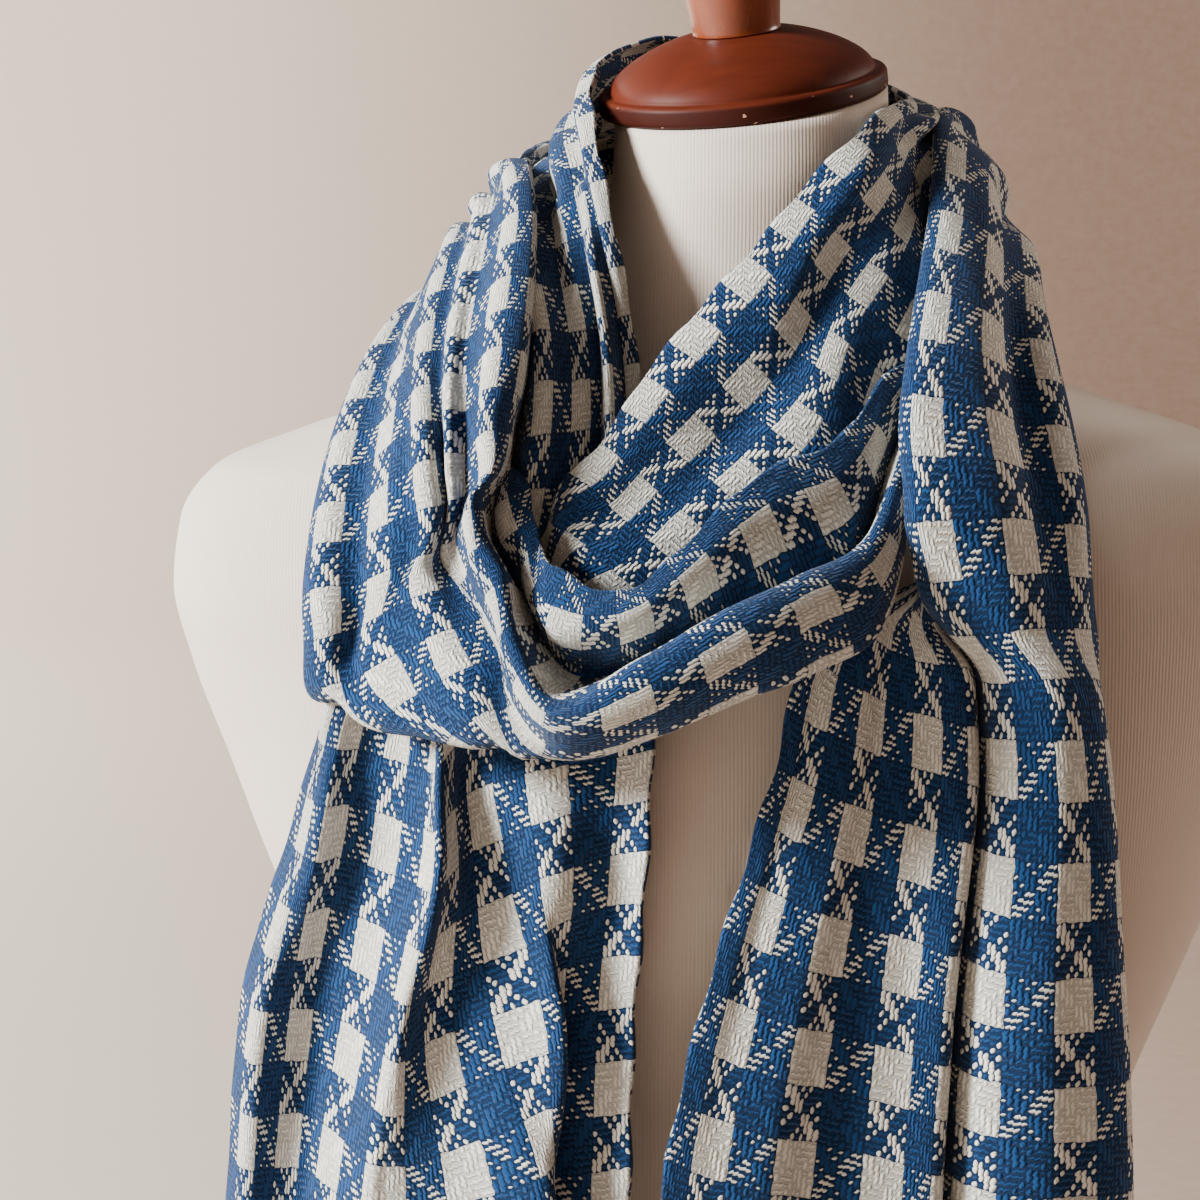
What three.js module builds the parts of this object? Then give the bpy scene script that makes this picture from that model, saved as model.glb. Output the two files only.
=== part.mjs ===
// A woven scarf wound round the neck of a limbless dress form, in millimetres.
// +Z is up, the chest faces -Y, and the origin is the centre of the base board's underside.
import * as THREE from 'three';

// Driving sizes of the dress form
const BASE = { halfWidth: 165, halfDepth: 118, thick: 23.7, centreY: 4, sides: 56 };
const FORM_SQUARE = 2.2;      // exponent of the rounded-square plan, 2 is an ellipse
const FORM_SIDES = 36;
const NECK_TILT = { side: 0.115, front: 0.17 };   // slope of the neck's cut top, along X and along Y
const NECK_TOP = 706;
const CAP = { centreX: -2.5, radius: 51.2, rim: 7.5, dome: 24.5, collar: 17, gap: 0.3, sides: 48 };
const FINIAL = { neck: 15.6, waist: 17.2, bulb: 20, height: 52, sides: 28 };

// Driving sizes of the cloth
const WALL = 2;               // thickness of the cloth wall
const SEAM_GAP = 0.5;         // gap between two neighbouring stretches
const FOLD_STEPS = 2;         // points between two fold rows
const LENGTH_STEPS = 1;       // rings between two sections

// Sections of the form: height, half width, depth in front of the axis, depth behind it
const FORM_SECTIONS = [
  { z: 24, half: 150, front: 95, back: 106 },
  { z: 60, half: 160, front: 100, back: 114 },
  { z: 110, half: 166, front: 103, back: 118 },
  { z: 180, half: 154, front: 99, back: 106 },
  { z: 240, half: 134, front: 92, back: 88 },
  { z: 295, half: 122, front: 86, back: 76 },
  { z: 350, half: 138, front: 95, back: 80 },
  { z: 400, half: 158, front: 106, back: 86 },
  { z: 445, half: 176, front: 114, back: 92 },
  { z: 475, half: 187, front: 112, back: 95 },
  { z: 510, half: 200, front: 105, back: 96 },
  { z: 535, half: 206, front: 99, back: 95 },
  { z: 560, half: 203, front: 92, back: 92 },
  { z: 577, half: 191, front: 86, back: 88 },
  { z: 590, half: 160, front: 80, back: 84 },
  { z: 600, half: 130, front: 74, back: 78 },
  { z: 612, half: 100, front: 67, back: 72 },
  { z: 625, half: 80, front: 61, back: 66 },
  { z: 640, half: 64, front: 57, back: 58 },
  { z: 655, half: 54, front: 56, back: 50 },
  { z: 680, half: 49, front: 57, back: 42 },
  { z: NECK_TOP, half: 48, front: 52, back: 40 },
];

// The scarf's way round the form. Each section runs from its neck side to its outer side.
const SECTIONS = [
  { neck: [-49, -122, 236], outer: [-190, -52, 236] },
  { neck: [-44, -120, 330], outer: [-184, -52, 330] },
  { neck: [-42, -123, 400], outer: [-177, -60, 400] },
  { neck: [-38, -126, 455], outer: [-160, -75, 455] },
  { neck: [-36, -122, 500], outer: [-146, -86, 500] },
  { neck: [-37, -107, 545], outer: [-130, -89, 545] },
  { neck: [-39, -90, 590], outer: [-112, -76, 590] },
  { neck: [-42, -74, 628], outer: [-99, -54, 618] },
  { neck: [-48, -60, 661], outer: [-94, -31, 634] },
  { neck: [-54, -38, 692], outer: [-93, -9, 626] },
  { neck: [-56, -13, 710], outer: [-93, 12, 616.4] },
  { neck: [-52, 22, 723], outer: [-84, 52, 626] },
  { neck: [-30, 48, 732], outer: [-48, 82, 640] },
  { neck: [0, 58, 735], outer: [0, 92, 656] },
  { neck: [30, 47, 731], outer: [44, 80, 655] },
  { neck: [51, 20, 722], outer: [69, 46, 654] },
  { neck: [54, -6, 712], outer: [77, 4, 652] },
  { neck: [45, -33, 704], outer: [76, -38, 630] },
  { neck: [33, -55, 695], outer: [69, -68, 603] },
  { neck: [14, -64, 676], outer: [49, -91, 578] },
  { neck: [-1, -72, 658], outer: [35, -118, 536] },
  { neck: [-20, -80, 637], outer: [14, -133, 521] },
  { neck: [-37, -90, 617], outer: [-8, -140, 514] },
  { neck: [-52, -101, 595], outer: [-36, -142, 503] },
  { neck: [-66, -108, 580], outer: [-64, -139, 496] },
  { neck: [-74, -108, 577], outer: [-93, -131, 498] },
  { neck: [-79, -106, 580], outer: [-124, -113, 502] },
  { neck: [-82, -104, 588], outer: [-146, -98, 508] },
  { neck: [-84, -101, 600], outer: [-151, -93, 530] },
  { neck: [-83, -95, 614], outer: [-150, -81, 556] },
  { neck: [-81, -79, 634], outer: [-145, -59, 586] },
  { neck: [-79, -57, 656], outer: [-136, -34, 610] },
  { neck: [-78, -34, 674], outer: [-124, -14, 626] },
  { neck: [-79, -9, 686], outer: [-116, 8, 636] },
  { neck: [-86, 24, 690], outer: [-112, 48, 628] },
  { neck: [-60, 70, 697], outer: [-84, 96, 624] },
  { neck: [0, 93, 702], outer: [0, 118, 622] },
  { neck: [58, 71, 701], outer: [82, 92, 628] },
  { neck: [72, 36, 701], outer: [98, 46, 636] },
  { neck: [65.5, 6, 702], outer: [98, 4, 643] },
  { neck: [62.5, -24, 692], outer: [98, -22, 644] },
  { neck: [59, -55, 668], outer: [97, -45, 634] },
  { neck: [50, -92, 629], outer: [99, -68, 618] },
  { neck: [45, -109, 600], outer: [103, -83, 595] },
  { neck: [45, -118, 575], outer: [106, -95, 571] },
  { neck: [41, -115, 553], outer: [108, -101, 546] },
  { neck: [28, -111, 539], outer: [110, -103, 528] },
  { neck: [13, -113, 524], outer: [111, -105, 508] },
  { neck: [3, -121, 488], outer: [114, -107, 476] },
  { neck: [-9, -126, 450], outer: [117, -106, 440] },
  { neck: [-22, -128, 405], outer: [121, -100, 398] },
  { neck: [-33, -129, 352], outer: [124, -96, 345] },
  { neck: [-44, -129, 250], outer: [127, -94, 245] },
];

// Sections where one stretch ends and the next begins
const STRETCHES = [
  { name: 'tail_left', from: 0, to: 10, colour: 0x2f5f96 },
  { name: 'neck_back_inner', from: 10, to: 16, colour: 0x7d93ad },
  { name: 'loop_front', from: 16, to: 33, colour: 0x3b6da6 },
  { name: 'neck_back_outer', from: 33, to: 39, colour: 0x8799ab },
  { name: 'tail_right', from: 39, to: 52, colour: 0x2f5f96 },
];

// Fold rows, one for each fold line, named by the stripe of the cloth that it follows (16 stripes across).
// share is the place across a section, 0 at its neck side and 1 at its outer side; rise is in mm, outwards.
const STRIPES = [16, 15, 13.6, 12.5, 11, 9.5, 8.3, 7.5, 7, 5.5, 4, 3, 1.5, 0];
const FOLDS = [
  { at: 0, name: 'left hem',
    share: [0, 0.1, 0.165, 0.21, 0.33, 0.48, 0.54, 0.58, 0.605, 0.69, 0.8, 0.87, 0.95, 1],
    rise: [0, 0, 12, 9, 7, 12, 20, 26, 26, 13, 8, 10, 18, 4] },
  { at: 2, name: 'left chest',
    share: [0, 0.1, 0.155, 0.2, 0.34, 0.49, 0.54, 0.58, 0.6, 0.7, 0.81, 0.88, 0.955, 1],
    rise: [0, 1, 12, 10, 8, 11, 18, 24, 24, 12, 8, 9, 16, 2] },
  { at: 4, name: 'left, just under the loop',
    share: [0, 0.1, 0.2, 0.24, 0.33, 0.44, 0.5, 0.54, 0.57, 0.68, 0.78, 0.83, 0.92, 1],
    rise: [0, 0, 9, 7, 5, 6, 10, 13, 12, 8, 4, 5, 8, 1] },
  { at: 5, name: 'left, behind the loop',
    share: [0, 0.07, 0.16, 0.22, 0.33, 0.43, 0.5, 0.55, 0.59, 0.69, 0.79, 0.85, 0.93, 1],
    rise: [0, 1, 4, 5, 2, 5, 4, 5, 5, 2, 4, 2, 4, 0] },
  { at: 8, name: 'left of the neck',
    share: [0, 0.05, 0.12, 0.2, 0.32, 0.42, 0.5, 0.56, 0.6, 0.7, 0.8, 0.86, 0.93, 1],
    rise: [0, 3, 0, 6, 2, 7, 2, 5, 6, 1, 6, 3, 5, 0] },
  { at: 13, name: 'inner turn behind the neck',
    share: [0, 0.07, 0.16, 0.25, 0.36, 0.46, 0.54, 0.6, 0.64, 0.73, 0.82, 0.87, 0.94, 1],
    rise: [0, 4, 0, 6, 1, 7, 2, 5, 6, 1, 6, 3, 5, 0] },
  { at: 16, name: 'right of the neck',
    share: [0, 0.07, 0.15, 0.22, 0.32, 0.41, 0.48, 0.53, 0.57, 0.66, 0.75, 0.81, 0.9, 1],
    rise: [0, 2, 0, 2.5, 0, 2.5, 0.5, 2, 2.5, 0, 2, 0.5, 2, 0] },
  { at: 19, name: 'loop folded lengthwise',
    share: [0, 0.1, 0.24, 0.35, 0.5, 0.72, 0.94, 1, 0.97, 0.84, 0.73, 0.69, 0.58, 0.48],
    rise: [2, 5, 5, 4, 2, 2, 2, 6, 10, 15, 13, 8, 9, 8] },
  { at: 23, name: 'loop at the middle',
    share: [0, 0.12, 0.25, 0.36, 0.52, 0.78, 0.98, 1, 0.97, 0.85, 0.73, 0.69, 0.64, 0.55],
    rise: [3, 6, 5, 4, 2, 1, 3, 9, 15, 26, 28, 19, 12, 8] },
  { at: 25, name: 'loop where its fold turns over',
    share: [0.02, 0.2, 0.45, 0.68, 0.95, 0.97, 0.82, 0.76, 0.72, 0.58, 0.46, 0.42, 0.38, 0.3],
    rise: [1, 3, 2, 0, 0, 7, 7, 8, 12, 25, 26, 18, 12, 9] },
  { at: 28, name: 'loop on the left breast',
    share: [0.03, 0.3, 0.95, 1, 0.74, 0.52, 0.43, 0.4, 0.375, 0.27, 0.17, 0.13, 0.08, 0.04],
    rise: [0, -1, -1, 6, 12, 13, 8, 8, 11, 21, 16, 10, 7, 5] },
  { at: 31, name: 'loop on the left shoulder',
    share: [0.1, 0.4, 0.9, 1, 0.8, 0.7, 0.6, 0.5, 0.44, 0.2, 0.06, 0.05, 0.14, 0.28],
    rise: [-3, -4, -4, 1, 7, 12, 7, 12, 9, 15, 8, 3, 0, 0] },
  { at: 36, name: 'outer turn behind the neck',
    share: [0.08, 0.3, 0.75, 0.97, 0.9, 0.75, 0.62, 0.55, 0.5, 0.36, 0.22, 0.16, 0.06, 0],
    rise: [-1, -2, -2, 1, 8, 6, 12, 10, 7, 13, 7, 11, 7, 3] },
  { at: 37, name: 'outer turn, its top rolling under',
    share: [0.5, 0.7, 0.97, 1, 0.85, 0.68, 0.55, 0.48, 0.42, 0.27, 0.12, 0.04, 0.06, 0.2],
    rise: [-3, -3, -1, 4, 9, 5, 11, 9, 6, 12, 7, 4, -2, -3] },
  { at: 38, name: 'outer turn behind the right shoulder',
    share: [0.85, 1, 0.93, 0.75, 0.52, 0.3, 0.14, 0.06, 0.02, 0.06, 0.2, 0.32, 0.44, 0.56],
    rise: [-3, 0, 5, 3, 8, 5, 6, 4, 2, -1.5, -2, -2, -2, -2] },
  { at: 40, name: 'right shoulder',
    share: [0.9, 1, 0.86, 0.62, 0.34, 0.1, 0, 0.03, 0.1, 0.25, 0.4, 0.5, 0.62, 0.74],
    rise: [-3, 1, 6, 4, 8, 5, 2, -1, -1.5, -2, -2, -2, -2, -2] },
  { at: 44, name: 'right, beside the loop',
    share: [0.92, 1, 0.9, 0.72, 0.42, 0.08, 0, 0.03, 0.09, 0.22, 0.33, 0.4, 0.48, 0.56],
    rise: [-2, 3, 10, 9, 15, 10, 4, 0, -1, -1.5, -2, -2.5, -3, -4] },
  { at: 45, name: 'right, where the panel turns out',
    share: [0.92, 1, 0.92, 0.77, 0.52, 0.23, 0.13, 0.13, 0.16, 0.22, 0.25, 0.26, 0.26, 0.25],
    rise: [-1, 3, 11, 13, 18, 11, 6, 3, 1.5, 0, -1.5, -3, -5, -7] },
  { at: 46, name: 'right, top of the panel',
    share: [0.92, 1, 0.94, 0.83, 0.63, 0.43, 0.38, 0.36, 0.34, 0.27, 0.2, 0.15, 0.07, 0],
    rise: [0, 4, 12, 17, 20, 10, 2, 1, 1.5, 2, 1.5, 2, 1.5, 1] },
  { at: 47, name: 'right, the panel spread',
    share: [0.92, 1, 0.95, 0.84, 0.68, 0.52, 0.48, 0.46, 0.43, 0.34, 0.25, 0.19, 0.09, 0],
    rise: [0, 4, 12, 18, 21, 10, 1, 3, 5, 5, 3, 4, 3, 2] },
  { at: 50, name: 'right chest',
    share: [0.92, 1, 0.97, 0.91, 0.81, 0.72, 0.67, 0.61, 0.57, 0.43, 0.3, 0.22, 0.11, 0],
    rise: [0, 5, 14, 21, 25, 13, 4, 7, 10, 10, 8, 9, 8, 6] },
  { at: 52, name: 'right hem',
    share: [0.92, 1, 0.97, 0.91, 0.81, 0.73, 0.68, 0.62, 0.58, 0.43, 0.3, 0.22, 0.11, 0],
    rise: [0, 6, 15, 23, 28, 14, 4, 8, 12, 11, 8, 10, 9, 6] },
];

// A value between four neighbours in a row, on a smooth curve through them
function smoothBetween(values, position) {
  const last = values.length - 1;
  const i = Math.min(Math.max(Math.floor(position), 0), last - 1);
  const t = position - i;
  const p1 = values[i];
  const p2 = values[i + 1];
  const p0 = i > 0 ? values[i - 1] : 2 * p1 - p2;
  const p3 = i + 2 <= last ? values[i + 2] : 2 * p2 - p1;
  const bend = 2 * p0 - 5 * p1 + 4 * p2 - p3 + t * (3 * (p1 - p2) + p3 - p0);
  return p1 + 0.5 * t * (p2 - p0 + t * bend);
}

// A point on the neck side or the outer side of the way round the form
function railPoint(side, position) {
  const along = [0, 1, 2].map((axis) => smoothBetween(SECTIONS.map((row) => row[side][axis]), position));
  return new THREE.Vector3(...along);
}

function midPoint(position) {
  return railPoint('neck', position).add(railPoint('outer', position)).multiplyScalar(0.5);
}

// Fold rows at any place along the scarf, eased from one named row of FOLDS to the next
function foldsAt(position) {
  let next = FOLDS.findIndex((row) => row.at >= position);
  if (next < 1) next = next === 0 ? 1 : FOLDS.length - 1;
  const [low, high] = [FOLDS[next - 1], FOLDS[next]];
  const raw = THREE.MathUtils.clamp((position - low.at) / (high.at - low.at), 0, 1);
  const mix = raw * raw * (3 - 2 * raw);
  const blend = (column) => low[column].map((value, i) => value + (high[column][i] - value) * mix);
  return { share: blend('share'), rise: blend('rise') };
}

// One ring of points across the cloth's middle, from its cream selvedge to its blue one
function ringAt(position) {
  const neck = railPoint('neck', position);
  const across = railPoint('outer', position).sub(neck);
  const step = 0.02;
  const ahead = midPoint(Math.min(position + step, SECTIONS.length - 1));
  const along = ahead.sub(midPoint(Math.max(position - step, 0)));
  const outward = along.cross(across).normalize();
  const { share, rise } = foldsAt(position);
  const count = (STRIPES.length - 1) * FOLD_STEPS + 1;
  return Array.from({ length: count }, (_, i) => {
    const row = i / FOLD_STEPS;
    return neck.clone()
      .addScaledVector(across, smoothBetween(share, row))
      .addScaledVector(outward, smoothBetween(rise, row));
  });
}

// Outward direction of the cloth at each point of the ring at a place along the scarf
function ringNormals(position, ring) {
  const step = 0.05;
  const before = ringAt(Math.max(position - step, 0));
  const after = ringAt(Math.min(position + step, SECTIONS.length - 1));
  const last = ring.length - 1;
  return ring.map((_, j) => {
    const along = after[j].clone().sub(before[j]);
    const across = ring[Math.max(j - 1, 0)].clone().sub(ring[Math.min(j + 1, last)]);
    return across.cross(along).normalize();
  });
}

// A closed body from a list of points and a list of triangles, given by point numbers
function closedBody(points, triangles) {
  const geometry = new THREE.BufferGeometry();
  geometry.setAttribute('position', new THREE.Float32BufferAttribute(points.flatMap((p) => [p.x, p.y, p.z]), 3));
  geometry.setIndex(triangles.flat());
  geometry.computeVertexNormals();
  return geometry;
}

// The cloth wall of one stretch: an outer skin, an inner skin and the rims that join them
function clothWall(from, to) {
  const firstLength = midPoint(from + 1).distanceTo(midPoint(from));
  const lastLength = midPoint(to).distanceTo(midPoint(to - 1));
  const start = from + SEAM_GAP / 2 / firstLength;
  const end = to - SEAM_GAP / 2 / lastLength;
  const ringCount = (to - from) * LENGTH_STEPS + 1;
  const places = Array.from({ length: ringCount }, (_, i) => start + (end - start) * i / (ringCount - 1));
  const rings = places.map(ringAt);
  const normals = rings.map((ring, i) => ringNormals(places[i], ring));
  const pointCount = rings[0].length;
  const skin = (side) => rings.flatMap((ring, i) => ring.map((p, j) => (
    p.clone().addScaledVector(normals[i][j], side * WALL / 2))));
  const points = [...skin(1), ...skin(-1)];
  const inner = ringCount * pointCount;
  const number = (i, j, side) => (side > 0 ? 0 : inner) + i * pointCount + j;
  const triangles = [];
  const quad = (a, b, c, d) => triangles.push([a, b, c], [a, c, d]);
  for (let i = 0; i < ringCount - 1; i += 1) {
    for (let j = 0; j < pointCount - 1; j += 1) {
      quad(number(i, j, 1), number(i + 1, j, 1), number(i + 1, j + 1, 1), number(i, j + 1, 1));
      quad(number(i, j, -1), number(i, j + 1, -1), number(i + 1, j + 1, -1), number(i + 1, j, -1));
    }
    const last = pointCount - 1;
    quad(number(i, 0, 1), number(i, 0, -1), number(i + 1, 0, -1), number(i + 1, 0, 1));
    quad(number(i, last, -1), number(i, last, 1), number(i + 1, last, 1), number(i + 1, last, -1));
  }
  for (let j = 0; j < pointCount - 1; j += 1) {
    const top = ringCount - 1;
    quad(number(0, j, -1), number(0, j, 1), number(0, j + 1, 1), number(0, j + 1, -1));
    quad(number(top, j, 1), number(top, j, -1), number(top, j + 1, -1), number(top, j + 1, 1));
  }
  return closedBody(points, triangles);
}

// The padded torso, from its flat foot to the slanted cut under the neck cap
function formBody() {
  const points = [];
  const top = FORM_SECTIONS.length - 1;
  const slopeFrom = top - 2;
  FORM_SECTIONS.forEach((row, i) => {
    const slope = Math.max(0, (i - slopeFrom) / (top - slopeFrom));
    for (let k = 0; k < FORM_SIDES; k += 1) {
      const angle = 2 * Math.PI * k / FORM_SIDES;
      const [s, c] = [Math.sin(angle), Math.cos(angle)];
      const depth = c >= 0 ? row.front : row.back;
      const reach = (Math.abs(s / row.half) ** FORM_SQUARE + Math.abs(c / depth) ** FORM_SQUARE)
        ** (-1 / FORM_SQUARE);
      const [x, y] = [reach * s, -reach * c];
      points.push(new THREE.Vector3(x, y, row.z + slope * (NECK_TILT.side * x + NECK_TILT.front * y)));
    }
  });
  const foot = points.length;
  points.push(new THREE.Vector3(0, 0, FORM_SECTIONS[0].z), new THREE.Vector3(0, 0, NECK_TOP));
  const triangles = [];
  for (let k = 0; k < FORM_SIDES; k += 1) {
    const next = (k + 1) % FORM_SIDES;
    for (let i = 0; i < top; i += 1) {
      const [a, b] = [i * FORM_SIDES + k, i * FORM_SIDES + next];
      triangles.push([a, b, b + FORM_SIDES], [a, b + FORM_SIDES, a + FORM_SIDES]);
    }
    triangles.push([foot, next, k], [foot + 1, top * FORM_SIDES + k, top * FORM_SIDES + next]);
  }
  return closedBody(points, triangles);
}

// A body turned about Z from a profile of radius and height
function turned(profile, sides) {
  const lathe = new THREE.LatheGeometry(profile.map(([radius, z]) => new THREE.Vector2(radius, z)), sides);
  return lathe.rotateX(Math.PI / 2);
}

function neckCap() {
  const profile = [[0, 0], [CAP.radius - 2, 0], [CAP.radius, 1.5], [CAP.radius, CAP.rim - 1.5],
    [CAP.radius - 2, CAP.rim]];
  const domeSteps = 6;
  const domeFoot = CAP.radius - 4;
  for (let i = 0; i <= domeSteps; i += 1) {
    const turn = (Math.PI / 2) * (i / domeSteps);
    const radius = CAP.collar + (domeFoot - CAP.collar) * Math.cos(turn) ** 1.6;
    profile.push([radius, CAP.rim + (CAP.dome - CAP.rim) * Math.sin(turn) ** 1.15]);
  }
  profile.push([0, CAP.dome]);
  return turned(profile, CAP.sides);
}

function finial() {
  const z = FINIAL.height;
  const profile = [[0, 0], [FINIAL.neck, 0], [FINIAL.neck, 3], [FINIAL.waist, z * 0.3], [FINIAL.bulb, z * 0.55],
    [FINIAL.bulb * 0.97, z * 0.72], [FINIAL.bulb * 0.78, z * 0.88], [FINIAL.bulb * 0.42, z * 0.97], [0, z]];
  return turned(profile, FINIAL.sides);
}

function baseBoard() {
  const outline = new THREE.Shape().absellipse(0, BASE.centreY, BASE.halfWidth, BASE.halfDepth, 0, 2 * Math.PI);
  return new THREE.ExtrudeGeometry(outline, {
    depth: BASE.thick, bevelEnabled: false, curveSegments: BASE.sides,
  });
}

const scarfOnForm = new THREE.Group();

function addPiece(name, geometry, colour, roughness) {
  const material = new THREE.MeshStandardMaterial({ color: colour, roughness, metalness: 0 });
  const mesh = new THREE.Mesh(geometry, material);
  mesh.name = name;
  return mesh;
}

scarfOnForm.add(addPiece('base_board', baseBoard(), 0x6b4327, 0.5));
scarfOnForm.add(addPiece('form_body', formBody(), 0xe9e2d6, 0.85));

// Cap and finial stand square to the slanted cut of the neck
const neckTop = new THREE.Group();
neckTop.position.set(CAP.centreX, 0, NECK_TOP + CAP.gap + NECK_TILT.side * CAP.centreX);
const cutNormal = new THREE.Vector3(-NECK_TILT.side, -NECK_TILT.front, 1).normalize();
neckTop.quaternion.setFromUnitVectors(new THREE.Vector3(0, 0, 1), cutNormal);
neckTop.add(addPiece('neck_cap', neckCap(), 0x6e2f1c, 0.35));
const finialMesh = addPiece('finial', finial(), 0xa85a22, 0.3);
finialMesh.position.z = CAP.dome + CAP.gap;
neckTop.add(finialMesh);
scarfOnForm.add(neckTop);

for (const stretch of STRETCHES) {
  const wall = clothWall(stretch.from, stretch.to);
  scarfOnForm.add(addPiece(stretch.name, wall, stretch.colour, 0.9));
}

export default scarfOnForm;
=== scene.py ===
"""A woven houndstooth scarf wound round the neck of a limbless dress form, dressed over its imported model."""
import math

import bpy
import numpy as np
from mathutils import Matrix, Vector


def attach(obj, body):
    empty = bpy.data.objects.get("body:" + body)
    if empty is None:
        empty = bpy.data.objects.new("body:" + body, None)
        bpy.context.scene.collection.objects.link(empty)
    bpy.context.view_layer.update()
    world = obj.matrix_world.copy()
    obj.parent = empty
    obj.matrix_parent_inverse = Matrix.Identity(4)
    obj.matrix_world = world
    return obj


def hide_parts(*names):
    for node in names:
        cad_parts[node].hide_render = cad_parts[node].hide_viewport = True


MM = 0.001                       # metres
IMAGE_SIDE = 1200                # pixels of the photograph's square frame
AXIS_PIXEL = 748                 # column of the photograph in which the form's axis stands
NECK_PLANE_MM_PER_PIXEL = 0.36   # at the form's axis
CAMERA_DISTANCE = 1250           # mm from the camera to the form's axis, measured level
CAMERA_PITCH = math.radians(8)   # downwards
AIM_HEIGHT = 528                 # mm, where the middle of the frame meets the form's axis
SENSOR = 36                      # mm


def make_camera():
    """The photograph's view, square on to the form and a little from above."""
    side = -(AXIS_PIXEL - IMAGE_SIDE / 2) * NECK_PLANE_MM_PER_PIXEL
    height = AIM_HEIGHT + CAMERA_DISTANCE * math.tan(CAMERA_PITCH)
    focal_pixels = CAMERA_DISTANCE / math.cos(CAMERA_PITCH) / NECK_PLANE_MM_PER_PIXEL
    data = bpy.data.cameras.new("camera")
    data.sensor_width = SENSOR
    data.lens = focal_pixels / IMAGE_SIDE * SENSOR
    camera = bpy.data.objects.new("camera", data)
    camera.location = Vector((side, -CAMERA_DISTANCE, height)) * MM
    camera.rotation_euler = (math.pi / 2 - CAMERA_PITCH, 0, 0)
    bpy.context.scene.collection.objects.link(camera)
    bpy.context.scene.camera = camera


make_camera()
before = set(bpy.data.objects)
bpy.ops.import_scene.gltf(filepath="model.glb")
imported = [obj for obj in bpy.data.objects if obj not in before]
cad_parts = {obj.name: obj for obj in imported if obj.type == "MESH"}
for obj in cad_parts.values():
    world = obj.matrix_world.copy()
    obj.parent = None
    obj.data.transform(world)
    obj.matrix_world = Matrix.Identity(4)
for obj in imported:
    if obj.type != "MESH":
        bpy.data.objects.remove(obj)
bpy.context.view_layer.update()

# Sizes of the dress form, in mm, as in the part's source
FORM_SQUARE = 2.2                # power of the form's rounded plan, 2 for an ellipse
NECK_TOP = 706
NECK_TILT_SIDE, NECK_TILT_FRONT = 0.115, 0.17
CUT_NORMAL = Vector((-NECK_TILT_SIDE, -NECK_TILT_FRONT, 1)).normalized()  # square to the neck's slanted cut
NECK_SLOPE_FROM = 655            # height from which the sections start to slant
CAP_CENTRE_X, CAP_RADIUS, CAP_RIM, CAP_DOME, CAP_COLLAR = -2.5, 51.2, 7.5, 24.5, 17
RIM_ROUND = 2                    # radius of the rim's rounded edges
RIM_BAND_STOP = 1.6              # below the rim's top, where its dark band starts to fade
FINIAL_HEIGHT, FINIAL_NECK, FINIAL_WAIST, FINIAL_BULB = 52, 15.6, 17.2, 20
PIECE_GAP = 0.3                  # between pieces that rest on each other
JERSEY_RIB = 1.3                 # from rib to rib of the form's cover
JERSEY_BEND = 0.6                # how far a rib strays
BASE_HALF_WIDTH, BASE_HALF_DEPTH, BASE_THICK, BASE_CENTRE_Y = 165, 118, 23.7, 4
BASE_ROUND = 4                   # radius of the board's rounded edges
EDGE_STEPS = 6                   # points along a rounded edge

# Stage, in metres: radius of the flat floor, radius of its bend and height of its wall
STAGE_FLAT, STAGE_BEND, STAGE_WALL = 3.6, 1.4, 2.4
PAINTED_LIGHT_X, PAINTED_SHADE_X = -1.0, 0.85  # where its painted light is at its palest and its painted shade at its darkest

# Sections of the form: height, half width, depth in front of the axis, depth behind it
FORM_SECTIONS = np.array([
    (24, 150, 95, 106), (60, 160, 100, 114), (110, 166, 103, 118), (180, 154, 99, 106),
    (240, 134, 92, 88), (295, 122, 86, 76), (350, 138, 95, 80), (400, 158, 106, 86),
    (445, 176, 114, 92), (475, 187, 112, 95), (510, 200, 105, 96), (535, 206, 99, 95),
    (560, 203, 92, 92), (577, 191, 86, 88), (590, 160, 80, 84), (600, 130, 74, 78),
    (612, 100, 67, 72), (625, 80, 61, 66), (640, 64, 57, 58), (655, 54, 56, 50),
    (680, 49, 57, 42), (NECK_TOP, 48, 52, 40)], float)

# Sizes of the cloth, in mm, and counts
STRIPE_COUNT = 16
ENDS_PER_STRIPE = 8
PICKS_PER_BAND = 8
CLOTH_THICK = 1.5
HEM_THICK = 2.55
PICKS_START = 64                 # keeps the count of picks above 0 all over
UV_SCALE = 1000                  # yarn counts are divided by this, to keep the map near the unit square
PLEATS = 4                       # pleats across a bunched section
PLEAT_DRIFT = 0.3                # of a pleat, by which pleats stray from an even spacing
PLEAT_UNEVEN = 0.3               # of the deepest pleat, by which others are shallower on average
DEEPEST_PLEAT = 20.0             # the most that a pleat may lift the cloth
PLEAT_HALVINGS = 14              # rounds of the search for a pleat's depth
SELVEDGE_FADE = 1.6              # stripes over which pleats fade out towards a selvedge
HEM = 11                         # length turned under at either end, where the cloth is double
SCALLOP = 0.8                    # how far a selvedge swings in and out from band to band
FOLD_STEPS = 9                   # points between two fold rows
LENGTH_STEPS = 9                 # rings between two sections

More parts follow.
